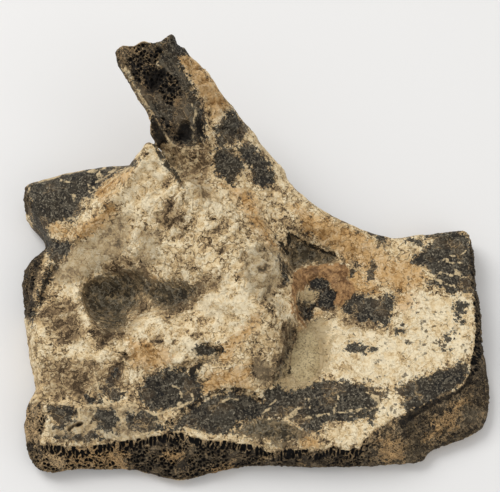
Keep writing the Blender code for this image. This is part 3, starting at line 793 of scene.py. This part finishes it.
def grain_group():
    """A node group with the fine unevenness of old bone and stone, in two sizes given in metres."""
    group = bpy.data.node_groups.new("stony_grain", "ShaderNodeTree")
    group.interface.new_socket(name="Place", in_out="INPUT", socket_type="NodeSocketVector")
    group.interface.new_socket(name="Blotch Size", in_out="INPUT", socket_type="NodeSocketFloat")
    group.interface.new_socket(name="Grain Size", in_out="INPUT", socket_type="NodeSocketFloat")
    for name in ("Blotch", "Grain", "Ragged", "Height"):
        group.interface.new_socket(name=name, in_out="OUTPUT", socket_type="NodeSocketFloat")
    given = group.nodes.new("NodeGroupInput").outputs
    swings = []
    for size, detail, roughness in (("Blotch Size", 7.0, 0.7), ("Grain Size", 4.0, 0.7)):
        lumps = add_node(
            group, "ShaderNodeTexNoise",
            {"Vector": given["Place"], "Scale": math_node(group, "DIVIDE", 1.0, given[size]),
             "Detail": detail, "Roughness": roughness},
        ).outputs["Fac"]
        swings.append(math_node(group, "MULTIPLY_ADD", lumps, 3.0, -1.5))
    result = group.nodes.new("NodeGroupOutput")
    ragged = math_node(group, "MULTIPLY_ADD", swings[1], 0.6, swings[0])
    height = math_node(group, "MULTIPLY_ADD", swings[1], 0.5, swings[0])
    for name, value in (("Blotch", swings[0]), ("Grain", swings[1]), ("Ragged", ragged), ("Height", height)):
        group.links.new(value, result.inputs[name])
    return group


def new_stone(name):
    """A new material: itself, its nodes, its shader, and the places on the object."""
    made = bpy.data.materials.new(name)
    made.use_nodes = True
    nodes = made.node_tree
    places = add_node(nodes, "ShaderNodeTexCoord").outputs["Object"]
    return made, nodes, nodes.nodes["Principled BSDF"], places


def grain_in(tree, spot, blotch_size, grain_size):
    """The stony grain's values in one material, with its two sizes in millimetres."""
    node = tree.nodes.new("ShaderNodeGroup")
    node.node_tree = stony_grain
    tree.links.new(spot, node.inputs["Place"])
    node.inputs["Blotch Size"].default_value = blotch_size * MM
    node.inputs["Grain Size"].default_value = grain_size * MM
    return node.outputs


def add_bump(tree, shader, heights, strength, distance):
    bump = add_node(
        tree, "ShaderNodeBump", {"Height": heights, "Strength": strength, "Distance": distance * MM},
    )
    tree.links.new(bump.outputs["Normal"], shader.inputs["Normal"])


BONE_TONES = (
    (0.00, colour(48, 40, 32)), (0.20, colour(92, 76, 57)), (0.40, colour(146, 124, 94)),
    (0.56, colour(204, 173, 126)), (0.73, colour(234, 208, 162)), (1.00, colour(253, 235, 198)),
)
SLATE_DARK_AND_SHADOW = colour(30, 30, 29)
SLATE_SPECK = colour(148, 139, 120)
SLATE_STREAK = colour(96, 91, 79)
STRUT_HEADING = math.radians(131)
OLIVE_EARTH_AND_SHADOW = colour(43, 40, 32)
BROWN_EARTH_AND_SHADOW = colour(130, 112, 84)
BROWN_STAIN_AND_SHADE = colour(110, 88, 62)
OCHRE = colour(206, 152, 84)
GREY_BONE_AND_SHADE = colour(136, 121, 96)
RUST_CRUST = colour(190, 146, 98)
RUST_DARK = colour(104, 72, 46)
KHAKI = colour(186, 163, 122)
PORE_AND_SHADOW_BLACK = colour(22, 19, 17)
WALL_TAN_AND_HIGHLIGHT = colour(226, 190, 140)
WALL_BROWN = colour(124, 100, 70)
WALL_DARK = colour(62, 56, 48)
# How far each stain's border is frayed, and how soft it is, in steps of the view
STAIN_BORDERS = {
    "pale": (7.0, 4.0), "brown": (7.0, 4.0), "grey": (6.0, 3.0), "orange": (8.0, 3.0),
    "earth_and_shadow": (9.0, 2.0), "slate_and_shadow": (6.0, 0.7), "rust": (2.0, 0.8), "khaki": (11.0, 3.0),
    "tan_walls_and_rim_highlight": (14.0, 3.0), "black": (3.0, 0.8),
}
MEAN_TONE = 0.14

stony_grain = grain_group()
bone_stone, tree, shader, spot = new_stone("fossil_bone")


def times(first, second):
    return math_node(tree, "MULTIPLY", first, second)


def bent(amount, size):
    """Places shifted by noise, by about this many millimetres, a quarter of the noise's whole range."""
    shift = add_node(
        tree, "ShaderNodeTexNoise", {"Vector": spot, "Scale": 1 / (size * MM), "Detail": 3.0},
    ).outputs["Color"]
    centred = add_node(
        tree, "ShaderNodeVectorMath", {0: shift, 1: (0.5, 0.5, 0.5)}, operation="SUBTRACT",
    ).outputs[0]
    scaled = add_node(
        tree, "ShaderNodeVectorMath", {0: centred, "Scale": amount * MM * 4}, operation="SCALE",
    ).outputs[0]
    return add_node(tree, "ShaderNodeVectorMath", {0: spot, 1: scaled}, operation="ADD").outputs[0]


def voronoi_node(size, feature, where):
    made = add_node(
        tree, "ShaderNodeTexVoronoi", {"Vector": where, "Scale": 1 / (size * MM)}, feature=feature,
    )
    return made.outputs["Distance"]


def random_patches(size):
    """One random value from 0 to 1 for each ragged patch of about this many millimetres."""
    patches = add_node(
        tree, "ShaderNodeTexVoronoi", {"Vector": bent(0.42 * size, 0.8 * size), "Scale": 1 / (size * MM)},
    ).outputs["Color"]
    return add_node(tree, "ShaderNodeSeparateColor", {"Color": patches}).outputs[0]


def thin_lines(size, width, level):
    """A mask of thin wandering lines, about this many millimetres apart."""
    lumps = add_node(
        tree, "ShaderNodeTexNoise",
        {"Vector": spot, "Scale": 1 / (size * MM), "Detail": 3.0, "Roughness": 0.6},
    ).outputs["Fac"]
    off_line = math_node(tree, "ABSOLUTE", math_node(tree, "SUBTRACT", lumps, level))
    return smooth_step(tree, off_line, width, 0.2 * width)


def given_number(name):
    return add_node(tree, "ShaderNodeAttribute", attribute_name=name).outputs["Fac"]


def frayed(depth, fray, softness):
    """A mask from a depth inside a stain, its border frayed and softened by so many steps of the view."""
    ragged_depth = math_node(tree, "MULTIPLY_ADD", ragged, fray, depth)
    return smooth_step(tree, ragged_depth, -softness, softness)


grained = grain_in(tree, spot, blotch_size=2.2, grain_size=0.6)
shard = random_patches(0.85)
ragged = math_node(tree, "ADD", grained["Ragged"], math_node(tree, "MULTIPLY_ADD", shard, 1.0, -0.5))
broad = add_node(
    tree, "ShaderNodeTexNoise", {"Vector": spot, "Scale": 1 / (7 * MM), "Detail": 3.0},
).outputs["Fac"]
masks = {
    name: frayed(given_number(name), fray, softness) for name, (fray, softness) in STAIN_BORDERS.items()
}
# Thin wandering lines: on bare bone a painted highlight along curled crests with a painted shadow line beside
# each; on slate, earth and spongy walls pale lines; both also stand in the bump
pale_lines_and_highlights = thin_lines(size=2.6, width=0.045, level=0.53)
groove_shadow_lines = thin_lines(size=2.6, width=0.035, level=0.48)
groove_shadow_lines = times(groove_shadow_lines, smooth_step(tree, masks["pale"], 1.8, 0.0))
groove_shadow_lines = times(groove_shadow_lines, math_node(tree, "MULTIPLY_ADD", masks["grey"], -0.7, 1.0))

# Bare bone goes from dark in its recesses to ivory on its crests: painted shade in the recesses and painted
# highlight on raised parts, with thin painted highlight lines and painted shadow lines beside them
tone = math_node(tree, "MULTIPLY_ADD", given_number("recess"), -0.5, MEAN_TONE)
for lighter, share in (
    (broad, 0.5), (grained["Blotch"], 0.42), (grained["Grain"], 0.34), (shard, 0.12),
    (random_patches(2.6), 0.34), (masks["pale"], 0.22), (masks["brown"], -0.26), (pale_lines_and_highlights, 0.2), (groove_shadow_lines, -0.24),
):
    tone = math_node(tree, "MULTIPLY_ADD", lighter, share, tone)
tones = tree.nodes.new("ShaderNodeValToRGB")
while len(tones.color_ramp.elements) < len(BONE_TONES):
    tones.color_ramp.elements.new(1.0)
for stop, (place, tint) in zip(tones.color_ramp.elements, BONE_TONES):
    stop.position = place
    stop.color = tint
tree.links.new(tone, tones.inputs["Fac"])
base = stained(tones.outputs["Color"], masks["brown"], 0.35, BROWN_STAIN_AND_SHADE)
base = stained(base, masks["grey"], 0.45, GREY_BONE_AND_SHADE)
base = stained(base, masks["orange"], 0.5, OCHRE)
dots = smooth_step(tree, voronoi_node(1.7, "F1", bent(0.6, 1.2)), 0.32, 0.2)
dotted = times(times(dots, smooth_step(tree, broad, 0.44, 0.56)), given_number("plate"))
base = stained(base, dotted, 0.75, BONE_TONES[0][1])

# Earth, which also paints the shadows under the strut and under the overhang, the halo by the sandstone,
# slate with its fibres, which also paints the shadow in the pocket, and the rusty crust
shallow = math_node(tree, "MULTIPLY_ADD", given_number("earth_and_shadow"), -0.06, times(ragged, 1.1))
earth_and_shadow = mix_colours(tree, smooth_step(tree, shallow, -0.7, 0.5), OLIVE_EARTH_AND_SHADOW, BROWN_EARTH_AND_SHADOW)
earth_and_shadow = stained(earth_and_shadow, pale_lines_and_highlights, 0.35, SLATE_SPECK)
base = stained(base, masks["earth_and_shadow"], 0.93, earth_and_shadow)
base = stained(base, masks["khaki"], 0.8, KHAKI)
slate_and_shadow = mix_colours(tree, smooth_step(tree, grained["Grain"], 0.16, 0.44), SLATE_DARK_AND_SHADOW, SLATE_SPECK)
slate_and_shadow = stained(slate_and_shadow, pale_lines_and_highlights, 0.28, SLATE_SPECK)
along_strut = add_node(
    tree, "ShaderNodeMapping",
    {"Vector": bent(0.12, 3.0), "Rotation": (0, 0, STRUT_HEADING), "Scale": (12, 1, 12)},
    vector_type="TEXTURE",
).outputs["Vector"]
fibres = add_node(
    tree, "ShaderNodeTexNoise", {"Vector": along_strut, "Scale": 1 / (1.3 * MM), "Detail": 3.0},
).outputs["Fac"]
slate_and_shadow = stained(slate_and_shadow, smooth_step(tree, fibres, 0.52, 0.64), given_number("fibres"), SLATE_STREAK)
slate_and_shadow = stained(slate_and_shadow, smooth_step(tree, broad, 0.5, 0.65), 0.3, BROWN_STAIN_AND_SHADE)
base = stained(base, masks["slate_and_shadow"], 0.95, slate_and_shadow)
rust = mix_colours(tree, smooth_step(tree, grained["Ragged"], -0.5, 0.4), RUST_DARK, RUST_CRUST)
base = stained(base, masks["rust"], 0.95, rust)

# Pale worm lines where the slate has flaked off, and the veins, with a painted highlight along the stub's
# upper edge
worms = smooth_step(tree, voronoi_node(3.4, "DISTANCE_TO_EDGE", bent(1.2, 2.6)), 0.035, 0.015)
wormed = times(times(worms, smooth_step(tree, broad, 0.5, 0.6)), masks["slate_and_shadow"])
base = stained(base, wormed, 0.5, BONE_TONES[3][1])
vein_and_highlight_mask = frayed(math_node(tree, "SUBTRACT", 0.8, given_number("veins_and_edge_highlight")), 1.1, 0.5)
base = stained(base, vein_and_highlight_mask, 0.8, BONE_TONES[4][1])

# Spongy bone: tan, brown or dark walls around black pores; along the front rim the walls are tan as a painted
# highlight
walls = mix_colours(tree, masks["tan_walls_and_rim_highlight"], WALL_DARK, WALL_TAN_AND_HIGHLIGHT)
walls = stained(walls, smooth_step(tree, grained["Ragged"], -0.1, 0.6), 0.6, WALL_BROWN)
walls = stained(walls, masks["orange"], 0.3, OCHRE)
walls = stained(walls, smooth_step(tree, shard, 0.5, 0.62), 0.3, PORE_AND_SHADOW_BLACK)
walls = stained(walls, pale_lines_and_highlights, 0.6, BONE_TONES[2][1])
net = smooth_step(tree, voronoi_node(0.72, "DISTANCE_TO_EDGE", bent(0.6, 0.8)), 0.24, 0.08)
closed = smooth_step(tree, grained["Blotch"], 0.1, 0.4)
walls = mix_colours(tree, math_node(tree, "MAXIMUM", net, times(closed, 0.7)), PORE_AND_SHADOW_BLACK, walls)
base = stained(base, given_number("spongy"), 0.92, walls)
base = mix_colours(tree, smooth_step(tree, given_number("pore"), 0.25, 0.6), base, PORE_AND_SHADOW_BLACK)
# The black outlines are voids, holes and the crack, and painted shadow in the strut's crease, under the strut
# and under the overhang
base = stained(base, masks["black"], 0.9, PORE_AND_SHADOW_BLACK)
tree.links.new(base, shader.inputs["Base Color"])

# Slate shines a little more, and dots, ridges and gaps stand in the bump
tree.links.new(math_node(tree, "MULTIPLY_ADD", masks["slate_and_shadow"], -0.2, 0.85), shader.inputs["Roughness"])
shader.inputs["Specular IOR Level"].default_value = 0.25
heights = grained["Height"]
for raised, share in ((dotted, -0.5), (pale_lines_and_highlights, 0.5), (groove_shadow_lines, -0.7)):
    heights = math_node(tree, "MULTIPLY_ADD", raised, share, heights)
add_bump(tree, shader, heights, strength=1.0, distance=0.26)
bone.data.materials.append(bone_stone)

# The sandstone: a lens of fine khaki sand, grown hard in the corner between the mound and the plate.
# It lies in its own bed in the bone, and its face is dull and finely grained.
SAND_VOXEL = 0.3 * MM
GRAIN_HEIGHT = 0.12
# Half its width and length, and how far its top spreads and its edge sinks, in millimetres
LENS_HALVES = np.array([6.2, 11.2])
SPREAD = 0.4
SINK = 1.15

sand = mesh_copy("sandstone_fill", "sandstone")
apply_modifier(sand, "REMESH", mode="VOXEL", voxel_size=SAND_VOXEL)
apply_modifier(sand, "SMOOTH", factor=0.5, iterations=6)
points, normals = points_of(sand), normals_of(sand)
grains = GRAIN_HEIGHT * fractal(points, 1.6, 3) * ramp(normals[:, 2], 0, 0.4)
crown = points[:, 2].max()
top_edge = ramp(points[:, 2], crown - 2.6, crown - 1.4) * ramp(normals[:, 2], -0.2, 0.5)
outward = (points - points.mean(0)) * np.array([*(1 / LENS_HALVES), 0])
reach = ramp(np.linalg.norm(outward, axis=1), 0.55, 1) * top_edge * (1 + 0.8 * fractal(points, 3, 2))
spread = SPREAD * outward * reach[:, None] + np.outer(SPREAD * top_edge - SINK * reach, [0, 0, 1])
place_points(sand, points + normals * grains[:, None] + spread)
select_only(sand)
bpy.ops.object.shade_smooth()
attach(sand, "root")
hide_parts("sandstone_fill")

SAND_TONES = (colour(200, 180, 138), colour(168, 147, 107), colour(66, 56, 38))

sandstone, tree, shader, spot = new_stone("khaki_sandstone")
grained = grain_in(tree, spot, blotch_size=3.0, grain_size=0.45)
sandy = mix_colours(tree, smooth_step(tree, grained["Blotch"], -0.3, 0.5), SAND_TONES[0], SAND_TONES[1])
sandy = stained(sandy, smooth_step(tree, grained["Grain"], -0.05, 0.4), 0.7, SAND_TONES[2])
tree.links.new(sandy, shader.inputs["Base Color"])
shader.inputs["Roughness"].default_value = 0.95
add_bump(tree, shader, grained["Height"], strength=0.8, distance=0.15)
sand.data.materials.append(sandstone)
